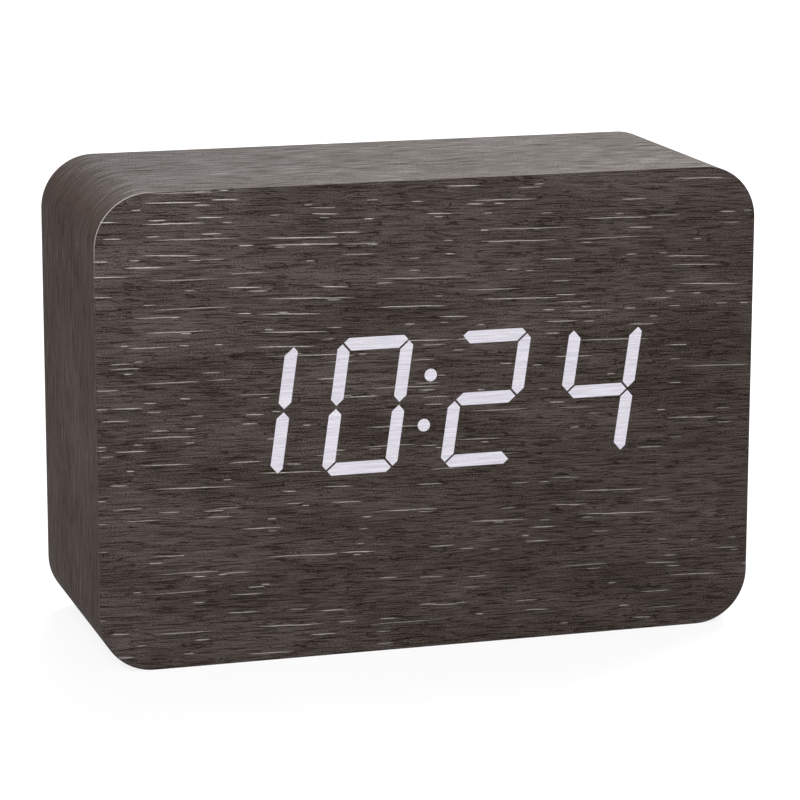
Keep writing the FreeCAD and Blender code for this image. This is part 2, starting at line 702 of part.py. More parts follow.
# --- battery door: pivots on two moulded pins, held by a spring tongue --------------------------------
door = box(hinge_x, door_right, door_inner_y, cover_out_y,
           middle_z - door_half_height, middle_z + door_half_height)
barrel = Part.makeCylinder(hinge_barrel_radius, 2 * door_half_height,
                           Vector(hinge_x, hinge_y, middle_z - door_half_height))
pins = Part.makeCylinder(hinge_pin_radius, 2 * (opening_half_height + hinge_pin_length),
                         Vector(hinge_x, hinge_y,
                                middle_z - opening_half_height - hinge_pin_length))
hook_half = notch_half - part_gap
hook_left = door_right - hook_tooth - hook_thickness
hook = box(hook_left, hook_left + hook_thickness, hook_low_y, door_inner_y,
           middle_z - hook_half, middle_z + hook_half)
tooth = box(hook_left, door_right, hook_low_y, cover_in_y - part_gap,
            middle_z - hook_half, middle_z + hook_half)
door = join([door, barrel, pins, hook, tooth])
slits = [box(door_right - tongue_length, door_right, door_inner_y, cover_out_y,
             middle_z + side * tongue_width / 2 - tongue_slit / 2,
             middle_z + side * tongue_width / 2 + tongue_slit / 2) for side in (-1, 1)]
grip_half = tongue_width / 2 - grip_margin
grip_starts = [door_right - grip_inset - grip_width - grip_pitch * step for step in range(grip_count)]
grips = [box(x, x + grip_width, cover_out_y - grip_depth, cover_out_y,
             middle_z - grip_half, middle_z + grip_half) for x in grip_starts]
save("battery_door", [door.cut(slits + grips)])

# --- cells, springs, contacts and leads ------------------------------------------------------------------

def coil_spring():
    """A conical coil that stands on the origin along Z, wound in short straight steps."""
    steps = round(spring_turns * coil_steps)
    path = []
    for step in range(steps + 1):
        share = step / steps
        angle = 2 * math.pi * spring_turns * share
        radius = spring_base_radius + (spring_tip_radius - spring_base_radius) * share
        height = spring_wire / 2 + (spring_length - spring_wire) * share
        path.append(Vector(radius * math.cos(angle), radius * math.sin(angle), height))
    start = path[0]
    ring = []
    for step in range(wire_sides):
        angle = 2 * math.pi * (step + 0.5) / wire_sides
        ring.append(Vector(start.x + spring_wire / 2 * math.cos(angle), start.y,
                           start.z + spring_wire / 2 * math.sin(angle)))
    section = Part.makePolygon(ring + ring[:1])
    return Part.makePolygon(path).makePipeShell([section], True, True, 1)


# The cells lie in turn, so that each contact plate joins one cell's nub to the next one's base.
cells = []
springs = []
plates = []
plate_low_y = bay_floor_y + running_gap
plate_high_y = cell_y + contact_width / 2
for row, z in enumerate(cell_rows):
    faces_right = row % 2 == 0
    side = 1 if faces_right else -1
    spring_wall = bay_left if faces_right else bay_right
    base_x = spring_wall + side * (contact_thickness + spring_length)
    can = peg(0, 0, cell_radius, 0, cell_length - cell_nub_length, fine_peg_sides)
    nub = peg(0, 0, cell_nub_radius, cell_length - cell_nub_length, cell_length)
    cell = join([can, nub])
    cell.rotate(Vector(0, 0, 0), Vector(0, 0, 1), -90 * side)
    cell.translate(Vector(base_x, cell_y, z))
    cells.append(cell)
    spring = coil_spring()
    spring.rotate(Vector(0, 0, 0), Vector(0, 1, 0), 90 * side)
    spring.translate(Vector(spring_wall + side * contact_thickness, cell_y, z))
    springs.append(spring)
save("battery_cells", cells)
save("battery_springs", springs)


def contact_plate(wall_x, side, low_row, high_row):
    """A plate against an end wall, spanning one or two rows of cells."""
    x = sorted((wall_x, wall_x + side * contact_thickness))
    return box(x[0], x[1], plate_low_y, plate_high_y,
               cell_rows[low_row] - contact_width / 2, cell_rows[high_row] + contact_width / 2)


def contact_tail(wall_x, side, row, gap):
    """The tab of a plate that goes through the floor of the bay."""
    x = sorted((wall_x - side * gap, wall_x + side * (contact_thickness + gap)))
    return box(x[0], x[1], bay_under_y - 2 * lead_radius - sliding_gap, plate_low_y,
               cell_rows[row] - contact_tail_width / 2 - gap,
               cell_rows[row] + contact_tail_width / 2 + gap)


last_row = cell_count - 1
plates.append(join([contact_plate(bay_left, 1, 0, 0), contact_tail(bay_left, 1, 0, 0)]))
plates.append(contact_plate(bay_left, 1, 1, last_row))
plates.append(contact_plate(bay_right, -1, 0, last_row - 1))
plates.append(join([contact_plate(bay_right, -1, last_row, last_row),
                    contact_tail(bay_right, -1, last_row, 0)]))
dimpled = []
for row, z in enumerate(cell_rows):
    faces_right = row % 2 == 0
    side = -1 if faces_right else 1
    wall_x = bay_right if faces_right else bay_left
    dimple_x = sorted((wall_x + side * contact_thickness,
                       wall_x + side * (contact_thickness + contact_dimple)))
    dimpled.append(box(dimple_x[0], dimple_x[1], cell_y - cell_nub_radius, cell_y + cell_nub_radius,
                       z - cell_nub_radius, z + cell_nub_radius))
save("battery_contacts", [join(plates + dimpled)])
tail_slots = [contact_tail(bay_left, 1, 0, screw_gap), contact_tail(bay_right, -1, last_row, screw_gap)]
save("rear_cover", [rear_cover.cut(tail_slots)])

lead_y = bay_under_y - lead_radius - sliding_gap
pad_x = board_right - lead_bend
for name, start_x, z in (("black_lead", bay_left, cell_rows[0]),
                         ("red_lead", bay_right - contact_thickness, cell_rows[last_row])):
    path = route([Vector(start_x, lead_y, z), Vector(pad_x, lead_y, z),
                  Vector(pad_x, board_under_y, z)], lead_bend)
    turns = [2 * math.pi * step / wire_sides for step in range(wire_sides)]
    ring = [Vector(start_x, lead_y + lead_radius * math.sin(turn),
                   z + lead_radius * math.cos(turn)) for turn in turns]
    section = Part.makePolygon(ring + ring[:1])
    save(name, [path.makePipeShell([section], True, True)])
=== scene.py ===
import math

import bmesh
import bpy
from mathutils import Euler, Matrix, Vector


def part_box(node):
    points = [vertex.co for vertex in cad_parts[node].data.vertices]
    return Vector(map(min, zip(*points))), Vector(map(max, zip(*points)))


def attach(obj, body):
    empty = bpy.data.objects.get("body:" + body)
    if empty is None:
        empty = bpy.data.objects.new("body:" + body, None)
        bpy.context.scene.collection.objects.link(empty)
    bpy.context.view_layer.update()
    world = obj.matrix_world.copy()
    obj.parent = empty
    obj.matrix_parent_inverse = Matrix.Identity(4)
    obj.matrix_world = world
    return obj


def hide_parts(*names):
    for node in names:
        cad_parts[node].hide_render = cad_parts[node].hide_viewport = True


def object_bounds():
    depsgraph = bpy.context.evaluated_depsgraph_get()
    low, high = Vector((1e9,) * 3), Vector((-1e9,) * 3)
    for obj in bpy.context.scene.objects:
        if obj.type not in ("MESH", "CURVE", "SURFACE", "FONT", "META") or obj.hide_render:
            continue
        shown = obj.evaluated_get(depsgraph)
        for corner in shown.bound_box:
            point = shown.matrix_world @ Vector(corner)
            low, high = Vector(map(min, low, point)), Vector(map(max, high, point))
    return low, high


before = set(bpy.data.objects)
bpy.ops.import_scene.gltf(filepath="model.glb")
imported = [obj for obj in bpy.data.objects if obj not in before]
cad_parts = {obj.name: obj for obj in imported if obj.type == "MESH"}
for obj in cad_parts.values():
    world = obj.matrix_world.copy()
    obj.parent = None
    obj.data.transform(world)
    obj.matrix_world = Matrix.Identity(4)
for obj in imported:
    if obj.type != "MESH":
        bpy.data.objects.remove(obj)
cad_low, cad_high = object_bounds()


# --- case block -------------------------------------------------------------------------------
# The body of the clock is a block of fibreboard, milled out from the back. It shows only as a
# thin raw edge inside the seat of the rear cover, where some of the dark stain has run over it.

mm = 0.001


def add(tree, kind, sockets=None, **settings):
    """A shader node. sockets maps its inputs to plain values or to the sockets that feed them."""
    made = tree.nodes.new("ShaderNode" + kind)
    for name, value in settings.items():
        setattr(made, name, value)
    for key, value in (sockets or {}).items():
        if isinstance(value, bpy.types.NodeSocket):
            tree.links.new(value, made.inputs[key])
        else:
            made.inputs[key].default_value = value
    return made


def calc(tree, operation, *terms):
    """A number worked out from sockets and plain numbers."""
    return add(tree, "Math", dict(enumerate(terms)), operation=operation).outputs[0]


def mixed(tree, one, other, share):
    """That share of one number and the rest of the other."""
    return calc(tree, "MULTIPLY_ADD", one, share, calc(tree, "MULTIPLY", other, 1 - share))


def noise(tree, place, size, detail=2.0, roughness=0.5):
    """Cloudy noise from 0 to 1, with blotches of about that size in metres along X, Y and Z."""
    spot = add(tree, "VectorMath", {0: place, 1: [1 / length for length in size]},
               operation="MULTIPLY").outputs[0]
    return add(tree, "TexNoise", {"Vector": spot, "Scale": 1.0, "Detail": detail,
                                  "Roughness": roughness}).outputs[0]


def shades(tree, value, stops):
    """A colour picked between stops of (place, red, green, blue) by a value from 0 to 1."""
    ramp = add(tree, "ValToRGB", {0: value})
    points = ramp.color_ramp.elements
    while len(points) < len(stops):
        points.new(0.5)
    for point, (place, *colour) in zip(points, sorted(stops)):
        point.position = place
        point.color = (*colour, 1.0)
    return ramp.outputs[0]


def mottled(tree, value, dark, light):
    """A colour between dark and light, for a noise that seldom goes below 0.3 or above 0.7."""
    return shades(tree, value, [(0.3, *dark), (0.7, *light)])


def bump(tree, height, distance):
    """The normal of a surface that rises by distance, in metres, where height is 1."""
    return add(tree, "Bump", {"Strength": 1.0, "Distance": distance, "Height": height}).outputs[0]


def new_finish(name):
    """An empty material and its node tree, with the object's own coordinates."""
    material = bpy.data.materials.new(name)
    material.use_nodes = True
    tree = material.node_tree
    tree.nodes.clear()
    return material, tree, add(tree, "TexCoord").outputs["Object"]


def surface(tree, **sockets):
    """The surface shader of a material, with its sockets given by name."""
    named = {key.replace("_", " "): value for key, value in sockets.items()}
    shader = add(tree, "BsdfPrincipled", named)
    add(tree, "OutputMaterial", {"Surface": shader.outputs[0]})


def dress(material, *names):
    """Gives CAD nodes a material."""
    for name in names:
        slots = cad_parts[name].data.materials
        slots.clear()
        slots.append(material)


fibreboard, tree, place = new_finish("fibreboard")
fibres = noise(tree, place, (1.1 * mm, 0.5 * mm, 1.1 * mm), detail=4.0, roughness=0.7)
stain = noise(tree, place, [14 * mm] * 3)
board_colour = mottled(tree, mixed(tree, stain, fibres, 0.5), (0.02, 0.015, 0.012),
                       (0.11, 0.075, 0.05))
surface(tree, Base_Color=board_colour, Roughness=0.85, Normal=bump(tree, fibres, 0.08 * mm))
dress(fibreboard, "case_core")


# --- wood skin --------------------------------------------------------------------------------
# Dark brown-grey printed veneer, 0.6 mm thick: one sheet on the front and one on the back, and a
# strip wrapped round the sides with its grain running round the corners. Thin pale pores lie
# over finer dark ones. The sharp arris of the front sheet is painted pale at one upper corner, as a
# painted highlight.

veneer = 0.6 * mm
corner_radius = 12 * mm
corner_steps = 28
arris = 0.14 * mm
arris_steps = 3
seat_radius = 9 * mm
cover_gap = 0.3 * mm
cut_past = 1 * mm
sharp_angle = math.radians(40)
flat_angle = math.radians(1)
rim_angle = 1.0
slant_least = 0.05
slant_most = 0.995
facing_out = 0.9
facing_down = -0.9999
tiny = 1e-6

grain_lean = 0.028
pore_lean = 0.03
slow_sway = 0.8 * mm
quick_sway = 0.24 * mm
wrap_squeeze = 0.35
line_edge = 0.018
line_depth = 0.8
long_dark_depth = 0.75
speckle_rise = 0.25
pale_rise = -0.5
pale_pore = (0.70, 0.66, 0.64, 1.0)
skin_relief = 0.02 * mm
# The face is painted darker towards +X and the base as painted shade, and its pale pores thin out
# there too.
falloff_low = cad_high.z - 62 * mm
falloff_crowding = (1.45, 0.70)
falloff_pale = (1.1, 0.55)
painted_shade_tone = (0.14, -0.05)
# The top of the strip is painted lighter and more streaky from here up, as painted sheen.
painted_sheen_low = cad_high.z - 5 * mm
sheen_streaks = (0.6, 1.1)
sheen_speckle = (0.2, 1.7)
sheen_from_left = (0.94, 1.27)
sheen_from_front = (1.14, 0.96)
full_sheen_x = 10 * mm
# How far the painted highlight on the arris reaches round the upper front corner at -X.
glint_reach = 25 * mm
glint_full = 6 * mm


def between(tree, share, first, last):
    """A number that goes from first to last while share goes from 0 to 1."""
    return calc(tree, "MULTIPLY_ADD", share, last - first, first)


def spread(tree, value, low, high, first=0.0, last=1.0, curve="LINEAR"):
    """A number that goes from first to last while value goes from low to high, and no further."""
    return add(tree, "MapRange", {0: value, 1: low, 2: high, 3: first, 4: last},
               interpolation_type=curve).outputs[0]


def swing(tree, base, wave, amount):
    """A number moved up and down by a noise, by half of amount at most."""
    return calc(tree, "MULTIPLY_ADD", calc(tree, "SUBTRACT", wave, 0.5), amount, base)


def split(tree, place):
    """The X, Y and Z of a place."""
    return add(tree, "SeparateXYZ", {0: place}).outputs


def on_sheet(tree, along, across):
    """A place on a flat pattern."""
    return add(tree, "CombineXYZ", {0: along, 1: across}).outputs[0]


def lay_over(tree, mask, under, over, way="MIX"):
    """A colour laid over another where the mask is 1."""
    return add(tree, "Mix", {0: mask, 6: under, 7: over}, data_type="RGBA",
               blend_type=way).outputs[2]


def new_group(name, numbers_in, numbers_out):
    """An empty node group that takes a vector and numbers, and the sockets they come in by."""
    tree = bpy.data.node_groups.new(name, "ShaderNodeTree")
    tree.interface.new_socket("Vector", in_out="INPUT", socket_type="NodeSocketVector")
    for number in numbers_in:
        tree.interface.new_socket(number, in_out="INPUT", socket_type="NodeSocketFloat")
    for number in numbers_out:
        tree.interface.new_socket(number, in_out="OUTPUT", socket_type="NodeSocketFloat")
    return tree, tree.nodes.new("NodeGroupInput").outputs


def put_out(tree, **results):
    """Hands the results of a node group to its outputs of the same names."""
    ends = tree.nodes.new("NodeGroupOutput").inputs
    for name, result in results.items():
        tree.links.new(result, ends[name])


def dashes(tree, along, across, cell, reach, thickness, crowd, seed):
    """A mask of thin dashes with tapered ends: at most one in each cell of a scattered grid.
    Cell is a cell's length and width, and reach is half of the shortest and longest dash."""
    cell_length, cell_width = cell
    spot = on_sheet(tree, calc(tree, "MULTIPLY_ADD", along, 1 / cell_length, seed),
                    calc(tree, "MULTIPLY_ADD", across, 1 / cell_width, seed))
    cells = add(tree, "TexVoronoi", {"Vector": spot, "Scale": 1.0, "Randomness": 1.0},
                voronoi_dimensions="2D").outputs
    off = add(tree, "VectorMath", {0: spot, 1: cells["Position"]}, operation="SUBTRACT")
    off = split(tree, off.outputs[0])
    chance = add(tree, "SeparateColor", {0: cells["Color"]}).outputs
    off_along = calc(tree, "MULTIPLY", off[0], cell_length)
    off_across = calc(tree, "MULTIPLY", off[1], cell_width)
    lean = calc(tree, "MULTIPLY", calc(tree, "SUBTRACT", chance[2], 0.5), pore_lean)
    off_across = calc(tree, "MULTIPLY_ADD", off_along, lean, off_across)
    half = between(tree, calc(tree, "POWER", chance[0], 2.0), *reach)
    share = calc(tree, "DIVIDE", off_along, half)
    taper = calc(tree, "SUBTRACT", 1.0, calc(tree, "POWER", calc(tree, "ABSOLUTE", share), 3.0))
    width = calc(tree, "MULTIPLY", calc(tree, "MAXIMUM", taper, 0.0), thickness / 2)
    inside = calc(tree, "SUBTRACT", width, calc(tree, "ABSOLUTE", off_across))
    mask = spread(tree, inside, -thickness / 6, thickness / 4, curve="SMOOTHSTEP")
    there = calc(tree, "LESS_THAN", chance[1], crowd)
    shown = calc(tree, "MULTIPLY", there, calc(tree, "GREATER_THAN", taper, 0.0))
    strength = between(tree, chance[2], 0.45, 1.0)
    return calc(tree, "MULTIPLY", mask, calc(tree, "MULTIPLY", shown, strength))


def veneer_grain():
    """The grain as a node group. Its vector runs along the grain in X and across it in Y."""
    tree, given = new_group(
        "veneer grain", ("Clouds", "Streaks", "Dark pores", "Pale pores", "Speckle", "Crowding"),
        ("Tone", "Pale", "Height"))
    place = given["Vector"]
    along, straight, _ = split(tree, place)
    wave = noise(tree, place, (34 * mm, 11 * mm, 1), detail=1.0)
    ripple = noise(tree, place, (3.6 * mm, 1.8 * mm, 1), detail=1.0)
    across = swing(tree, swing(tree, straight, wave, slow_sway), ripple, quick_sway)
    wavy = on_sheet(tree, along, across)

    clouds = noise(tree, wavy, (40 * mm, 9 * mm, 1), roughness=0.45)
    streaks = noise(tree, wavy, (8 * mm, 0.26 * mm, 1), detail=1.0)
    speckle = noise(tree, place, (0.24 * mm, 0.2 * mm, 1), detail=1.0, roughness=0.8)
    lines = noise(tree, wavy, (17 * mm, 1.7 * mm, 1), roughness=0.6)
    off_line = calc(tree, "ABSOLUTE", calc(tree, "SUBTRACT", lines, 0.5))
    line = spread(tree, off_line, line_edge, 0.0, curve="SMOOTHSTEP")
    fading = spread(tree, noise(tree, place, (9 * mm, 2.2 * mm, 1)), 0.2, 0.55)
    glint = noise(tree, place, (1.0 * mm, 0.6 * mm, 1), roughness=0.6)
    glint = spread(tree, glint, 0.3, 0.65, 0.45, 1.0)

    long_dark = dashes(tree, along, across, cell=(12 * mm, 1.3 * mm), reach=(2.0 * mm, 6.5 * mm),
                       thickness=0.2 * mm, crowd=0.85, seed=3.7)
    fine_dark = dashes(tree, along, across, cell=(11 * mm, 0.58 * mm), reach=(1.2 * mm, 4.7 * mm),
                       thickness=0.2 * mm, crowd=0.95, seed=11.3)
    long_crowd = calc(tree, "MULTIPLY", given["Crowding"], 0.68)
    long_pale = dashes(tree, along, across, cell=(24 * mm, 3.1 * mm), reach=(3.0 * mm, 11 * mm),
                       thickness=0.2 * mm, crowd=long_crowd, seed=23.1)
    short_crowd = calc(tree, "MULTIPLY", given["Crowding"], 0.4)
    short_pale = dashes(tree, along, across, cell=(10 * mm, 3.0 * mm), reach=(1.0 * mm, 2.6 * mm),
                        thickness=0.19 * mm, crowd=short_crowd, seed=31.9)
    dark = calc(tree, "MAXIMUM", calc(tree, "MULTIPLY", line, line_depth), fine_dark)
    dark = calc(tree, "MULTIPLY", dark, fading)
    dark = calc(tree, "MAXIMUM", dark, calc(tree, "MULTIPLY", long_dark, long_dark_depth))
    pale = calc(tree, "MULTIPLY", calc(tree, "MAXIMUM", long_pale, short_pale), glint)
    pale = calc(tree, "MULTIPLY", pale, given["Pale pores"])

    tone = swing(tree, 0.5, clouds, given["Clouds"])
    tone = swing(tree, tone, streaks, given["Streaks"])
    tone = swing(tree, tone, speckle, given["Speckle"])
    tone = calc(tree, "SUBTRACT", tone, calc(tree, "MULTIPLY", dark, given["Dark pores"]))
    height = calc(tree, "MULTIPLY_ADD", speckle, speckle_rise, calc(tree, "SUBTRACT", 1.0, dark))
    height = calc(tree, "MULTIPLY_ADD", pale, pale_rise, height)
    put_out(tree, Tone=tone, Pale=pale, Height=height)
    return tree


grain = veneer_grain()


def veneer_finish(name, place_from, wood_shades, amounts, sheen, painted_falloff=False, painted_sheen=None):
    """A finish of the wood skin. place_from turns a tree and its coordinates into the grain's,
    amounts are the inputs of the grain, and sheen is the roughness of dark and of light wood.
    With painted falloff, the sheet is painted darker towards +X and the base as painted shade, and
    its pale pores get fewer there.
    Painted sheen is how much lighter the top of the case is painted in red, green and blue, as
    painted sheen: lighter still towards +X and towards the front, with its streaks stronger there."""
    material, tree, place = new_finish(name)
    x, y, z = split(tree, place)
    sheet = add(tree, "Group", {"Vector": place_from(tree, place), **amounts}, node_tree=grain)
    tone = sheet.outputs["Tone"]
    # Painted shade: darker towards +X and the base, with fewer and fainter pale pores there.
    if painted_falloff:
        along = spread(tree, x, cad_low.x, cad_high.x)
        down = spread(tree, z, cad_high.z, falloff_low)
        shade_and_pore_falloff = mixed(tree, down, along, 0.5)
        tree.links.new(between(tree, shade_and_pore_falloff, *falloff_crowding), sheet.inputs["Crowding"])
        tree.links.new(between(tree, shade_and_pore_falloff, *falloff_pale), sheet.inputs["Pale pores"])
        tone = calc(tree, "ADD", tone, between(tree, shade_and_pore_falloff, *painted_shade_tone))
    colour = lay_over(tree, sheet.outputs["Pale"], shades(tree, tone, wood_shades), pale_pore)
    # Painted sheen: the top of the strip is painted lighter, more so towards +X and the front, with
    # stronger streaks.
    if painted_sheen:
        on_top = spread(tree, z, painted_sheen_low, cad_high.z)
        tree.links.new(between(tree, on_top, *sheen_streaks), sheet.inputs["Streaks"])
        tree.links.new(between(tree, on_top, *sheen_speckle), sheet.inputs["Speckle"])
        sheen_along = spread(tree, x, cad_low.x, full_sheen_x, *sheen_from_left)
        sheen_forward = spread(tree, y, cad_low.y, 0.0, *sheen_from_front)
        level = calc(tree, "MULTIPLY", sheen_along, sheen_forward)
        painted_sheen_colour = add(tree, "VectorMath", {0: painted_sheen, "Scale": level}, operation="SCALE")
        colour = lay_over(tree, on_top, colour, painted_sheen_colour.outputs[0], way="MULTIPLY")
    surface(tree, Base_Color=colour, Specular_IOR_Level=0.03,
            Roughness=between(tree, tone, *sheen),
            Normal=bump(tree, sheet.outputs["Height"], skin_relief))
    return material


def seen_from_front(tree, place):
    """Grain along X on an upright face, falling a little towards +X."""
    x, _, z = split(tree, place)
    return on_sheet(tree, x, calc(tree, "MULTIPLY_ADD", x, grain_lean, z))


def round_the_sides(tree, place):
    """Grain along the strip's own map, which is measured in metres round the case. It is the
    same print, enlarged, so that its streaks are wider."""
    spot = add(tree, "UVMap", uv_map="wrap").outputs[0]
    return add(tree, "VectorMath", {0: spot, 1: (1.0, wrap_squeeze, 1.0)},
               operation="MULTIPLY").outputs[0]


def straight_along(tree, place):
    """Grain along X on a flat underside."""
    return place


face_shades = [(0.0, 0.018, 0.013, 0.010), (0.32, 0.040, 0.0305, 0.0238),
               (0.6, 0.072, 0.057, 0.051), (1.0, 0.14, 0.117, 0.114)]
# The strip's shades are a darker, warmer copy of the face's, darkened as painted shade for the
# sides and base.
shaded_wrap_shades = [(0.0, 0.017, 0.0104, 0.008), (0.32, 0.035, 0.0232, 0.0190),
               (0.6, 0.058, 0.0410, 0.0352), (1.0, 0.12, 0.090, 0.080)]
# The dark edge colour, then the pale stops of the painted highlight.
edge_and_glint_shades = [(0.0, 0.040, 0.034, 0.030), (0.5, 0.10, 0.09, 0.083), (0.95, 0.34, 0.32, 0.30)]
face_amounts = {"Clouds": 0.85, "Streaks": 1.15, "Dark pores": 0.95, "Pale pores": 1.0,
                "Speckle": 3.4}
wrap_amounts = {"Clouds": 0.3, "Streaks": 0.75, "Dark pores": 0.2, "Pale pores": 0.0,
                "Speckle": 0.6}
face_wood = veneer_finish("front veneer", seen_from_front, face_shades, face_amounts,
                          sheen=(0.65, 0.55), painted_falloff=True)
wrap_wood = veneer_finish("side veneer", round_the_sides, shaded_wrap_shades, wrap_amounts,
                          sheen=(0.95, 0.32), painted_sheen=(1.08, 1.325, 1.43))
base_wood = veneer_finish("base veneer", straight_along, shaded_wrap_shades, wrap_amounts,
                          sheen=(0.95, 0.32))

# Painted highlight: the arris is painted pale, in patches, near the upper front corner at -X.
edge_wood, tree, place = new_finish("cut veneer edge")
from_corner = add(tree, "VectorMath", {0: place, 1: (cad_low.x, cad_low.y, cad_high.z)},
                  operation="DISTANCE").outputs["Value"]
glint_near = spread(tree, from_corner, glint_reach, glint_full, curve="SMOOTHSTEP")
patches = noise(tree, place, [6 * mm] * 3, detail=3.0, roughness=0.6)
painted_glint = calc(tree, "MULTIPLY", glint_near, between(tree, patches, 0.7, 1.3))
surface(tree, Base_Color=shades(tree, painted_glint, edge_and_glint_shades), Roughness=0.4, Specular_IOR_Level=0.1,
        Normal=bump(tree, patches, skin_relief))


def rounded_block(low, high, radius):
    """A block with its four edges along Y rounded, as a bmesh."""
    bm = bmesh.new()
    size = high - low
    bmesh.ops.create_cube(bm, size=1.0, matrix=Matrix.Translation((low + high) / 2)
                          @ Matrix.Diagonal((*size, 1.0)))
    along_y = [edge for edge in bm.edges
               if abs(edge.verts[0].co.y - edge.verts[1].co.y) > size.y / 2]
    bmesh.ops.bevel(bm, geom=along_y, offset=radius, offset_type="OFFSET", affect="EDGES",
                    segments=corner_steps, profile=0.5, material=-1)
    return bm


def break_rim(bm, rim_y, width, steps):
    """Rounds the edges in the plane rim_y at which a flat face turns into a wall."""
    rim = [edge for edge in bm.edges
           if all(abs(vert.co.y - rim_y) < tiny for vert in edge.verts) and edge.is_manifold
           and edge.calc_face_angle() > rim_angle]
    bmesh.ops.bevel(bm, geom=rim, offset=width, offset_type="OFFSET", affect="EDGES",
                    segments=steps, profile=0.5, material=-1)


def pale_rim(bm):
    """Gives the slanting faces of a broken rim the second material, and all others the first."""
    bm.normal_update()
    for face in bm.faces:
        face.material_index = 1 if slant_least < abs(face.normal.y) < slant_most else 0


def show(name, data):
    """A new object in the scene, at the origin."""
    made = bpy.data.objects.new(name, data)
    bpy.context.scene.collection.objects.link(made)
    return made


def make_piece(bm, name, body, slot, materials, *replaced):
    """Turns a bmesh into a piece that rides on a body and stands for CAD nodes."""
    mesh = bpy.data.meshes.new(name)
    bm.to_mesh(mesh)
    bm.free()
    mesh.shade_smooth()
    mesh.set_sharp_from_angle(angle=sharp_angle)
    for material in materials:
        mesh.materials.append(material)
    piece = show(name, mesh)
    even = piece.modifiers.new("even shading", "WEIGHTED_NORMAL")
    even.keep_sharp = True
    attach(piece, body)
    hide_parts(*replaced)
    return piece


def cut_out(piece, cutters):
    """Cuts the meshes of the cutters, each a bmesh, out of a piece."""
    for cutter in cutters:
        mesh = bpy.data.meshes.new("cutter")
        cutter.to_mesh(mesh)
        cutter.free()
        tool = show("cutter", mesh)
        cut = piece.modifiers.new("cut", "BOOLEAN")
        cut.object = tool
        cut.operation = "DIFFERENCE"
        cut.solver = "EXACT"
        piece.modifiers.move(len(piece.modifiers) - 1, 0)
        with bpy.context.temp_override(object=piece, active_object=piece, selected_objects=[piece]):
            bpy.ops.object.modifier_apply(modifier="cut")
        bpy.data.objects.remove(tool)
        bpy.data.meshes.remove(mesh)


def merged_copy(name, vertex_move=None):
    """A CAD node's mesh as a bmesh with its loose triangles joined up."""
    bm = bmesh.new()
    bm.from_mesh(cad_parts[name].data)
    bmesh.ops.remove_doubles(bm, verts=bm.verts, dist=tiny)
    bmesh.ops.dissolve_limit(bm, angle_limit=flat_angle, verts=bm.verts, edges=bm.edges)
    if vertex_move:
        for vert in bm.verts:
            vert.co += vertex_move(vert.co)
    return bm


front_low, front_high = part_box("front_veneer")
bm = rounded_block(front_low, front_high, corner_radius)
break_rim(bm, front_low.y, arris, arris_steps)
pale_rim(bm)
front_sheet = make_piece(bm, "front_face", "case", "dark_veneer", [face_wood, edge_wood],
                         "front_veneer")
digit_names = ["hour_tens_digit", "hour_units_digit", "minute_tens_digit", "minute_units_digit"]


def push_forward(place):
    """Lets a window's cutter stand out of the face."""
    return Vector((0, -cut_past if abs(place.y - front_low.y) < tiny else 0, 0))


cut_out(front_sheet, [merged_copy(name, push_forward) for name in digit_names + ["colon_dots"]])

side_low, side_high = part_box("side_veneer")
bm = rounded_block(side_low, side_high, corner_radius)
bm.normal_update()
open_sides = [face for face in bm.faces
              if abs(face.normal.y) > facing_out or face.normal.z < facing_down]
bmesh.ops.delete(bm, geom=open_sides, context="FACES")
bmesh.ops.solidify(bm, geom=list(bm.faces), thickness=veneer)
bmesh.ops.recalc_face_normals(bm, faces=bm.faces)


def run_round(x, z):
    """The way along the strip, from the left end of the base, up and over to the right end."""
    half = side_high.x - corner_radius
    top = side_high.z - corner_radius
    core_x = min(max(x, -half), half)
    core_z = min(max(z, corner_radius), top)
    turn = math.atan2(core_x - x, core_z - z) % (2 * math.pi)
    if x > 0 and turn < math.pi / 2:
        turn += 2 * math.pi
    if turn <= math.pi + tiny:
        return corner_radius * turn + core_z - corner_radius + core_x + half
    return corner_radius * turn + top - corner_radius + 2 * half + top - core_z


wrap_map = bm.loops.layers.uv.new("wrap")
for face in bm.faces:
    for loop in face.loops:
        spot = loop.vert.co
        loop[wrap_map].uv = (run_round(spot.x, spot.z), spot.y)
make_piece(bm, "side_wrap", "case", "dark_veneer", [wrap_wood], "side_veneer")
dress(base_wood, "base_veneer")

rear_low, rear_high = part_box("rear_veneer")
cover_low, cover_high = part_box("rear_cover")
bm = rounded_block(rear_low, rear_high, corner_radius)
break_rim(bm, rear_high.y, arris, arris_steps)
pale_rim(bm)
rear_sheet = make_piece(bm, "rear_ring", "case", "dark_veneer", [face_wood, edge_wood],
                        "rear_veneer")
seat_low = Vector((cover_low.x - cover_gap, rear_low.y - cut_past, cover_low.z - cover_gap))
seat_high = Vector((cover_high.x + cover_gap, rear_high.y + cut_past, cover_high.z + cover_gap))
cut_out(rear_sheet, [rounded_block(seat_low, seat_high, seat_radius)])


# --- lit digits -------------------------------------------------------------------------------
# Bars of milky resin behind the face, lit from behind by white light chips. The grain of the
# veneer that the light crosses shows as faint streaks on the bars.

lit_resin, tree, place = new_finish("lit resin")
streaks = noise(tree, place, (9 * mm, 30 * mm, 0.34 * mm))
specks = noise(tree, place, (0.35 * mm, 30 * mm, 0.3 * mm), detail=1.0)
glow = shades(tree, mixed(tree, specks, streaks, 0.35),
              [(0.38, 0.54, 0.52, 0.60), (0.62, 0.75, 0.725, 0.79)])
surface(tree, Base_Color=(0.05, 0.05, 0.05, 1.0), Roughness=0.7, Emission_Color=glow,
        Emission_Strength=1.0, Specular_IOR_Level=0.2)
dress(lit_resin, "colon_dots", *digit_names)


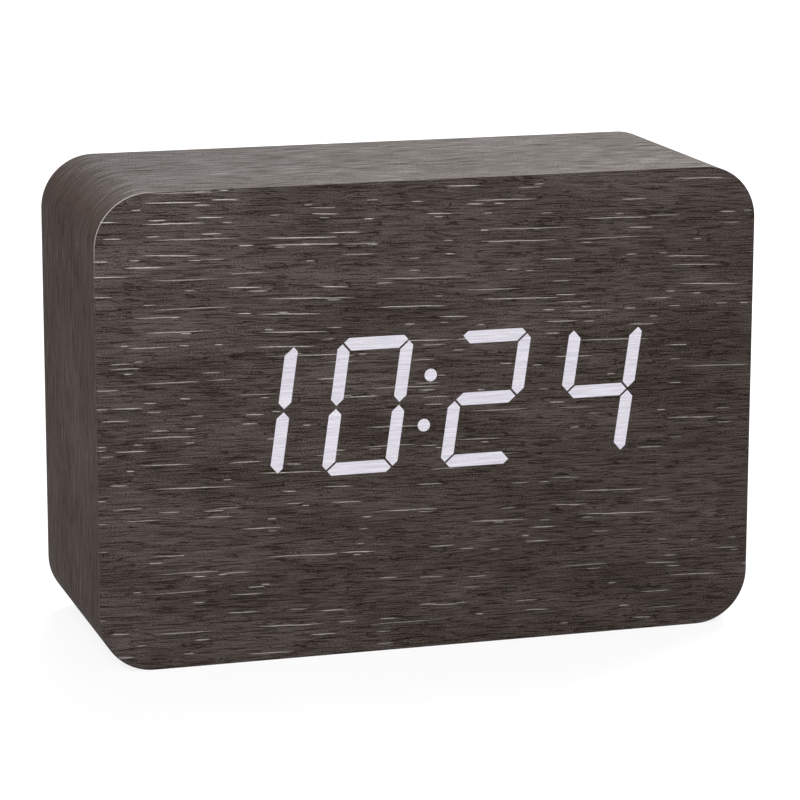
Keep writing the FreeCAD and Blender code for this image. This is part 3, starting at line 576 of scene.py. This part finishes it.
# --- light box --------------------------------------------------------------------------------
# Behind the face stands a black moulding with a shaft for each bar, and behind it the display
# board with the light chips, screwed to the front wall. Unlit bars stay behind the veneer.

gloss_swing = 0.12
leg_reach = 1.2 * mm
epoxy_dark = (0.016, 0.016, 0.017)
epoxy_light = (0.03, 0.03, 0.031)
epoxy_roughness = 0.58
epoxy_relief = 0.01 * mm
tin = (0.62, 0.61, 0.58, 1.0)
tin_roughness = 0.33
track_pitch = 3.2 * mm
track_green = (0.035, 0.2, 0.08, 1.0)
wire_pitch = 1.27 * mm


def spark_texture():
    """The skin that a sparked mould leaves, as a node group: fine pits and a faint mottling."""
    tree, given = new_group("spark texture", (), ("Height", "Mottling"))
    pits = noise(tree, given["Vector"], [0.5 * mm] * 3, roughness=0.6)
    swell = noise(tree, given["Vector"], [7 * mm] * 3)
    put_out(tree, Height=pits, Mottling=mixed(tree, swell, pits, 0.7))
    return tree


def plating():
    """The look of plated sheet, as a node group: soft smudges, and lines from drawing it."""
    tree, given = new_group("plating", (), ("Smudge", "Lines"))
    smudge = noise(tree, given["Vector"], [5 * mm] * 3, detail=3.0, roughness=0.6)
    lines = noise(tree, given["Vector"], (6 * mm, 0.15 * mm, 0.15 * mm))
    put_out(tree, Smudge=smudge, Lines=lines)
    return tree


spark = spark_texture()
plated = plating()


def moulding(name, dark, light, roughness, relief):
    """A moulded plastic, mottled between two colours, with a sparked skin of that relief."""
    material, tree, place = new_finish(name)
    skin = add(tree, "Group", {"Vector": place}, node_tree=spark).outputs
    gloss = between(tree, skin["Mottling"], roughness - gloss_swing, roughness + gloss_swing)
    surface(tree, Base_Color=mottled(tree, skin["Mottling"], dark, light), Roughness=gloss,
            Specular_IOR_Level=0.3, Normal=bump(tree, skin["Height"], relief))
    return material


def metal(name, colour, roughness):
    """Plated metal, duller where it is smudged."""
    material, tree, place = new_finish(name)
    skin = add(tree, "Group", {"Vector": place}, node_tree=plated).outputs
    gloss = between(tree, skin["Smudge"], roughness - gloss_swing, roughness + gloss_swing)
    gloss = calc(tree, "MULTIPLY_ADD", skin["Lines"], 0.1, gloss)
    dull = [part * 0.8 for part in colour]
    surface(tree, Base_Color=shades(tree, skin["Smudge"], [(0.25, *dull), (0.7, *colour)]),
            Metallic=1.0, Roughness=gloss, Normal=bump(tree, skin["Lines"], 0.004 * mm))
    return material


def chip_finish(name, node):
    """Black epoxy between two rows of tinned legs, which reach past it in Z."""
    low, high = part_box(node)
    material, tree, place = new_finish(name)
    up = split(tree, place)[2]
    off = calc(tree, "ABSOLUTE", calc(tree, "SUBTRACT", up, (low.z + high.z) / 2))
    leg = calc(tree, "GREATER_THAN", off, (high.z - low.z) / 2 - leg_reach)
    skin = add(tree, "Group", {"Vector": place}, node_tree=spark).outputs
    epoxy = mottled(tree, skin["Mottling"], epoxy_dark, epoxy_light)
    surface(tree, Base_Color=lay_over(tree, leg, epoxy, tin), Metallic=leg,
            Roughness=between(tree, leg, epoxy_roughness, tin_roughness),
            Normal=bump(tree, skin["Height"], epoxy_relief))
    dress(material, node)


black_abs = moulding("black moulding", (0.012, 0.012, 0.0125), (0.022, 0.022, 0.023),
                     roughness=0.5, relief=0.06 * mm)
chip_epoxy = moulding("black epoxy", epoxy_dark, epoxy_light, epoxy_roughness, epoxy_relief)
nylon = moulding("natural nylon", (0.6, 0.585, 0.52), (0.72, 0.705, 0.64),
                 roughness=0.45, relief=0.008 * mm)
zinc = metal("zinc plate", (0.42, 0.42, 0.41), roughness=0.3)
nickel = metal("nickel plate", (0.74, 0.72, 0.67), roughness=0.24)

unlit_resin, tree, place = new_finish("unlit resin")
cloud = noise(tree, place, [4 * mm] * 3, detail=3.0)
surface(tree, Base_Color=mottled(tree, cloud, (0.30, 0.30, 0.31), (0.38, 0.38, 0.39)),
        Roughness=0.5, Normal=bump(tree, cloud, 0.02 * mm))

green_board, tree, place = new_finish("green board")
x, _, z = split(tree, place)
tracks = add(tree, "TexBrick", {"Vector": on_sheet(tree, x, z), "Scale": 1 / track_pitch,
                                "Mortar Size": 0.07, "Mortar Smooth": 0.2, "Brick Width": 2.6,
                                "Row Height": 0.5}).outputs["Fac"]
haze = noise(tree, place, [5 * mm] * 3, detail=3.0)
resist = mottled(tree, haze, (0.012, 0.085, 0.034), (0.02, 0.12, 0.048))
surface(tree, Base_Color=lay_over(tree, tracks, resist, track_green),
        Roughness=between(tree, haze, 0.22, 0.42), Normal=bump(tree, tracks, 0.03 * mm))

phosphor, tree, place = new_finish("phosphor resin")
grit = noise(tree, place, [0.4 * mm] * 3)
surface(tree, Base_Color=mottled(tree, grit, (0.62, 0.55, 0.16), (0.75, 0.68, 0.28)),
        Roughness=between(tree, grit, 0.2, 0.4))

grey_ribbon, tree, place = new_finish("grey ribbon")
rib = calc(tree, "PINGPONG", split(tree, place)[0], wire_pitch / 2)
rib = calc(tree, "DIVIDE", rib, wire_pitch / 2)
surface(tree, Base_Color=shades(tree, rib, [(0.1, 0.2, 0.2, 0.205), (0.5, 0.42, 0.42, 0.43)]),
        Roughness=0.5, Normal=bump(tree, rib, 0.2 * mm))

dress(black_abs, "segment_mask")
dress(unlit_resin, "unlit_segments")
dress(green_board, "display_board", "main_board")
dress(phosphor, "display_leds")
dress(zinc, "display_screws", "board_screws")
dress(nylon, "display_socket", "board_socket")
dress(grey_ribbon, "ribbon_cable")
chip_finish("driver chip", "display_driver")


# --- main board -------------------------------------------------------------------------------
# The board with the clock chip, its crystal, a capacitor, the buzzer, the microphone and the
# temperature sensor. It hangs on four bosses of the rear cover.

stripe_width = 1.3 * mm
stripe_grey = (0.5, 0.5, 0.48, 1.0)

sleeve, tree, place = new_finish("capacitor sleeve")
stripe_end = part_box("smoothing_capacitor")[0].x + stripe_width
stripe = calc(tree, "LESS_THAN", split(tree, place)[0], stripe_end)
wrinkle = noise(tree, place, (3 * mm, 0.6 * mm, 3 * mm))
film = mottled(tree, wrinkle, (0.012, 0.016, 0.05), (0.02, 0.028, 0.08))
surface(tree, Base_Color=lay_over(tree, stripe, film, stripe_grey), Roughness=0.28,
        Normal=bump(tree, wrinkle, 0.03 * mm))

chip_finish("clock chip", "clock_chip")
dress(nickel, "clock_crystal", "microphone")
dress(sleeve, "smoothing_capacitor")
dress(black_abs, "buzzer")
dress(chip_epoxy, "temperature_sensor", "button_switches", "inlet_tongue")
dress(nickel, "slide_switch_body", "inlet_shell")
dress(nylon, "set_plunger", "alarm_plunger", "up_plunger", "down_plunger")


# --- push buttons -----------------------------------------------------------------------------
# Four satin black caps, each with two wings that hold it behind the cover. A small pale mark is
# printed on each: a dot to set, a square for the alarm, triangles for up and down.

cap_round = 0.55 * mm
cap_dish = 0.2 * mm
dish_halfway = 0.7
cap_steps = 6
cap_sides = 48
wing_thickness = 1.0 * mm
wing_height = 4.2 * mm
mark_radius = 0.95 * mm
mark_thickness = 0.12 * mm
knob_round = 0.06 * mm
rim_steps = 2
seam_gap = 1e-7

button_skin = moulding("button plastic", (0.02, 0.02, 0.021), (0.03, 0.03, 0.032),
                       roughness=0.34, relief=0.008 * mm)
print_white = moulding("printed white", (0.5, 0.5, 0.5), (0.62, 0.62, 0.62),
                       roughness=0.5, relief=0.005 * mm)


def turned(profile, steps):
    """A closed shape turned round the Y axis, from points of (radius, place along Y)."""
    bm = bmesh.new()
    verts = [bm.verts.new((radius, along, 0)) for radius, along in profile]
    edges = [bm.edges.new(pair) for pair in zip(verts, verts[1:])]
    bmesh.ops.spin(bm, geom=verts + edges, cent=(0, 0, 0), axis=(0, 1, 0),
                   angle=2 * math.pi, steps=steps, use_merge=True)
    bmesh.ops.remove_doubles(bm, verts=bm.verts, dist=seam_gap)
    bmesh.ops.recalc_face_normals(bm, faces=bm.faces)
    return bm


def rounding(radius, top, reach_in, drop, steps):
    """Points of a rounded shoulder, from the side of a turned shape up to its top."""
    turns = [math.pi / 2 * step / steps for step in range(steps + 1)]
    return [(radius - reach_in * (1 - math.cos(turn)), top - drop * (1 - math.sin(turn)))
            for turn in turns]


def put_in(bm, part, matrix):
    """Adds a copy of a bmesh to another, moved by a matrix."""
    mesh = bpy.data.meshes.new("copy")
    part.to_mesh(mesh)
    mesh.transform(matrix)
    bm.from_mesh(mesh)
    bpy.data.meshes.remove(mesh)


def button_cap(name, body, node, mark_sides, mark_turn):
    """One button, with its mark as a thin polygon on the dished top."""
    low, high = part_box(node)
    centre = (low + high) / 2
    radius = (high.z - low.z) / 2
    height = high.y - low.y
    profile = [(0, 0), (radius, 0)] + rounding(radius, height, cap_round, cap_round, cap_steps)
    profile += [(radius / 2, height - cap_dish * dish_halfway), (0, height - cap_dish)]
    cap = turned(profile, cap_sides)
    bm = bmesh.new()
    put_in(bm, cap, Matrix.Translation((centre.x, low.y, centre.z)))
    cap.free()
    wings = Matrix.Translation((centre.x, low.y + wing_thickness / 2, centre.z))
    size = Matrix.Diagonal((high.x - low.x, wing_thickness, wing_height, 1.0))
    bmesh.ops.create_cube(bm, size=1.0, matrix=wings @ size)
    plain = set(bm.faces)
    spot = Matrix.Translation((centre.x, high.y - cap_dish + mark_thickness / 2, centre.z))
    facing = Matrix.Rotation(math.radians(-90), 4, "X") @ Matrix.Rotation(mark_turn, 4, "Z")
    bmesh.ops.create_cone(bm, cap_ends=True, segments=mark_sides, radius1=mark_radius,
                          radius2=mark_radius, depth=mark_thickness, matrix=spot @ facing)
    for face in bm.faces:
        face.material_index = 0 if face in plain else 1
    make_piece(bm, name, body, "button_plastic", [button_skin, print_white], node)


button_cap("set_cap", "set_key", "set_button", mark_sides=32, mark_turn=0)
button_cap("alarm_cap", "alarm_key", "alarm_button", mark_sides=4, mark_turn=math.pi / 4)
button_cap("up_cap", "up_key", "up_button", mark_sides=3, mark_turn=math.pi)
button_cap("down_cap", "down_key", "down_button", mark_sides=3, mark_turn=0)

bm = merged_copy("slide_switch_knob")
break_rim(bm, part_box("slide_switch_knob")[1].y, knob_round, rim_steps)
make_piece(bm, "slide_knob", "mode_slider", "button_plastic", [button_skin], "slide_switch_knob")


# --- rear cover -------------------------------------------------------------------------------
# One black moulding with the battery bay, the vents, the grille and the button holes. It drops
# into its seat in the back of the case, and four cross-head screws hold it.

hole_round = 0.15 * mm
counterbore_radius = 2.8 * mm
counterbore_sides = 48
head_radius = 2.28 * mm
head_height = 1.4 * mm
head_edge = 0.5 * mm
head_sides = 40
shank_radius = 1.2 * mm
slot_length = 2.7 * mm
slot_width = 0.55 * mm
slot_depth = 0.8 * mm

bm = merged_copy("rear_cover")
break_rim(bm, cover_high.y, hole_round, rim_steps)
back_plate = make_piece(bm, "back_plate", "case", "black_plastic", [black_abs], "rear_cover")

screw_low, screw_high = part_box("cover_screws")
length = screw_high.y - screw_low.y
middle_x = (screw_low.x + screw_high.x) / 2
middle_z = (screw_low.z + screw_high.z) / 2
reach_x = (screw_high.x - screw_low.x) / 2 - head_radius
reach_z = (screw_high.z - screw_low.z) / 2 - head_radius
screw_places = [(middle_x + side * reach_x, middle_z + height * reach_z)
                for side in (-1, 1) for height in (-1, 1)]
bores = []
for x, z in screw_places:
    bore = bmesh.new()
    bmesh.ops.create_cone(bore, cap_ends=True, segments=counterbore_sides,
                          radius1=counterbore_radius, radius2=counterbore_radius,
                          depth=2 * head_height,
                          matrix=Matrix.Translation((x, screw_high.y, z))
                          @ Matrix.Rotation(math.radians(90), 4, "X"))
    bores.append(bore)
cut_out(back_plate, bores)

profile = [(0, 0), (shank_radius, 0), (shank_radius, length - head_height),
           (head_radius, length - head_height)]
profile += rounding(head_radius, length, head_radius, head_height - head_edge, cap_steps)
screw = turned(profile, head_sides)
bm = bmesh.new()
for x, z in screw_places:
    put_in(bm, screw, Matrix.Translation((x, screw_low.y, z)))
screw.free()
cover_screw_set = make_piece(bm, "pan_head_screws", "case", "screw_steel", [zinc], "cover_screws")
slots = []
for x, z in screw_places:
    for long_x, long_z in ((slot_length, slot_width), (slot_width, slot_length)):
        slot = bmesh.new()
        centre = Matrix.Translation((x, screw_high.y, z))
        size = Matrix.Diagonal((long_x, 2 * slot_depth, long_z, 1.0))
        bmesh.ops.create_cube(slot, size=1.0, matrix=centre @ size)
        slots.append(slot)
cut_out(cover_screw_set, slots)


# --- battery door -----------------------------------------------------------------------------
# A black lid, moulded like the cover, that swings on two pins at its inner edge. Its outer edge
# has a spring tongue that snaps into the cover, and grooves to grip it by.

bm = merged_copy("battery_door")
break_rim(bm, cover_high.y, hole_round, rim_steps)
make_piece(bm, "battery_lid", "door", "black_plastic", [black_abs], "battery_door")


# --- cells and contacts -----------------------------------------------------------------------
# Three cells in plain blue-grey sleeves with a white band at the positive end, coil springs,
# nickel contact plates and the two leads to the board.

cell_length = 44.5 * mm
cell_radius = 5.2 * mm
cell_shoulder = 0.7 * mm
cell_sides = 48
base_round = 0.4 * mm
cup_inset = 1.2 * mm
cup_depth = 0.3 * mm
nub_radius = 1.9 * mm
nub_length = 1.0 * mm
nub_round = 0.2 * mm
sleeve_from = 1.5 * nub_radius
band_length = 9.0 * mm
spring_length = 4.6 * mm
spring_wire = 0.6 * mm
spring_turns = 2.5
spring_base_radius = 3.6 * mm
spring_tip_radius = 2.2 * mm
steps_per_turn = 32
plate_thickness = 0.4 * mm

grey_sleeve = moulding("grey sleeve", (0.10, 0.13, 0.16), (0.13, 0.165, 0.20),
                       roughness=0.3, relief=0.004 * mm)
white_band = moulding("white band", (0.52, 0.52, 0.50), (0.60, 0.60, 0.58),
                      roughness=0.3, relief=0.004 * mm)
red_skin = moulding("red insulation", (0.34, 0.012, 0.012), (0.46, 0.022, 0.02),
                    roughness=0.42, relief=0.005 * mm)
black_skin = moulding("black insulation", (0.012, 0.012, 0.012), (0.02, 0.02, 0.02),
                      roughness=0.42, relief=0.005 * mm)

can_length = cell_length - nub_length
profile = [(0, cup_depth), (cell_radius - cup_inset - cup_depth, cup_depth)]
profile += [(cell_radius - cup_inset, 0), (cell_radius - base_round, 0)]
profile += [(cell_radius, base_round), (cell_radius, can_length - band_length)]
profile += rounding(cell_radius, can_length, cell_shoulder, cell_shoulder, cap_steps)
profile += [(nub_radius, can_length), (nub_radius, cell_length - nub_round)]
profile += [(nub_radius - nub_round, cell_length), (0, cell_length)]
cell = turned(profile, cell_sides)
for face in cell.faces:
    middle = face.calc_center_median()
    side_on = abs(face.normal.y) < 0.5 and math.hypot(middle.x, middle.z) > sleeve_from
    band = middle.y > can_length - band_length
    face.material_index = (1 if band else 0) if side_on else 2
cells_low, cells_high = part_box("battery_cells")
contact_low, contact_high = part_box("battery_contacts")
half_box = (cells_high.y - cells_low.y) / 2
cell_y = cells_low.y + half_box
cell_rows = [cells_low.z + half_box, (cells_low.z + cells_high.z) / 2, cells_high.z - half_box]
bm = bmesh.new()
coils = bpy.data.curves.new("cell_coils", "CURVE")
coils.dimensions = "3D"
coils.bevel_depth = spring_wire / 2
coils.bevel_resolution = 3
coils.use_fill_caps = True
for row, z in enumerate(cell_rows):
    side = 1 if row % 2 == 0 else -1
    base_x = cells_high.x - cell_length if side == 1 else cells_low.x + cell_length
    put_in(bm, cell, Matrix.Translation((base_x, cell_y, z))
           @ Matrix.Rotation(math.radians(-90 * side), 4, "Z"))
    wall_x = contact_low.x if side == 1 else contact_high.x
    steps = round(spring_turns * steps_per_turn)
    line = coils.splines.new("POLY")
    line.points.add(steps)
    for step, point in enumerate(line.points):
        share = step / steps
        turn = 2 * math.pi * spring_turns * share
        radius = spring_base_radius + (spring_tip_radius - spring_base_radius) * share
        reach = plate_thickness + spring_wire / 2 + (spring_length - spring_wire) * share
        point.co = (wall_x + side * reach, cell_y + radius * math.sin(turn),
                    z + radius * math.cos(turn), 1.0)
cell.free()
make_piece(bm, "three_cells", "case", "cell_sleeve", [grey_sleeve, white_band, nickel],
           "battery_cells")
coils.materials.append(nickel)
coil_piece = show("cell_coils", coils)
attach(coil_piece, "case")
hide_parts("battery_springs")
dress(nickel, "battery_contacts")
dress(red_skin, "red_lead")
dress(black_skin, "black_lead")


# --- stage ------------------------------------------------------------------------------------
# A white floor that runs out of sight, and the lamps and camera of a plain studio. The floor and
# the world look white, also in reflections, but shed only a little light on the clock.

floor_size = 12.0
floor_drop = 0.02 * mm
near_floor = 0.3
far_floor = 2.5
near_white = 0.8
far_white = 0.97
world_fill = 0.22
white = (1.0, 1.0, 1.0, 1.0)


def ray_seen(tree):
    """1 for a ray from the camera, straight, mirrored or through glass, and 0 for the rest."""
    paths = add(tree, "LightPath").outputs
    turned_ray = calc(tree, "MAXIMUM", paths["Is Glossy Ray"], paths["Is Transmission Ray"])
    return calc(tree, "MAXIMUM", paths["Is Camera Ray"], turned_ray)


bm = bmesh.new()
bmesh.ops.create_grid(bm, x_segments=1, y_segments=1, size=floor_size,
                      matrix=Matrix.Translation((0, 0, cad_low.z - floor_drop)))
mesh = bpy.data.meshes.new("floor")
bm.to_mesh(mesh)
bm.free()
show("floor", mesh)

floor_paint, tree, place = new_finish("floor paint")
far = add(tree, "VectorMath", {0: place}, operation="LENGTH").outputs["Value"]
level = spread(tree, far, near_floor, far_floor, near_white, far_white)
surface(tree, Base_Color=(0.22, 0.22, 0.22, 1.0), Roughness=0.9, Specular_IOR_Level=0.0,
        Emission_Color=white, Emission_Strength=calc(tree, "MULTIPLY", ray_seen(tree), level))
mesh.materials.append(floor_paint)

world = bpy.data.worlds.new("studio")
world.use_nodes = True
bpy.context.scene.world = world
tree = world.node_tree
tree.nodes.clear()
level = between(tree, ray_seen(tree), world_fill, 1.0)
sky = add(tree, "Background", {"Color": white, "Strength": level})
add(tree, "OutputWorld", {"Surface": sky.outputs[0]})


def lamp(name, place, width, height, power):
    """A soft lamp that faces the middle of the clock."""
    light = bpy.data.lights.new(name, "AREA")
    light.shape = "RECTANGLE"
    light.size = width
    light.size_y = height
    light.energy = power
    middle = (cad_low + cad_high) / 2
    holder = show(name, light)
    holder.location = place
    holder.rotation_euler = (middle - Vector(place)).to_track_quat("-Z", "Y").to_euler()


lamp("left lamp", (-1.05, -0.45, 1.15), width=0.3, height=0.3, power=5)
lamp("front lamp", (-0.5, -0.95, 0.62), width=0.6, height=0.5, power=13)
lamp("back lamp", (0.6, 0.9, 1.3), width=1.2, height=1.0, power=55)

focal_pixels = 3484.7
frame_pixels = 800
sensor_width = 36.0
camera_yaw = 16.950
camera_pitch = 12.628
camera_roll = 0.116
camera_place = Vector((-223.99, -738.75, 222.97)) * mm
camera_data = bpy.data.cameras.new("camera")
camera_data.sensor_width = sensor_width
camera_data.lens = focal_pixels / frame_pixels * sensor_width
camera = show("camera", camera_data)
aim = Euler((math.radians(90 - camera_pitch), 0, math.radians(-camera_yaw)), "XYZ").to_matrix()
lean = Matrix.Rotation(math.radians(camera_roll), 3, "Z")
camera.matrix_world = Matrix.Translation(camera_place) @ (aim @ lean).to_4x4()
bpy.context.scene.camera = camera
bpy.context.scene.view_settings.view_transform = "Standard"
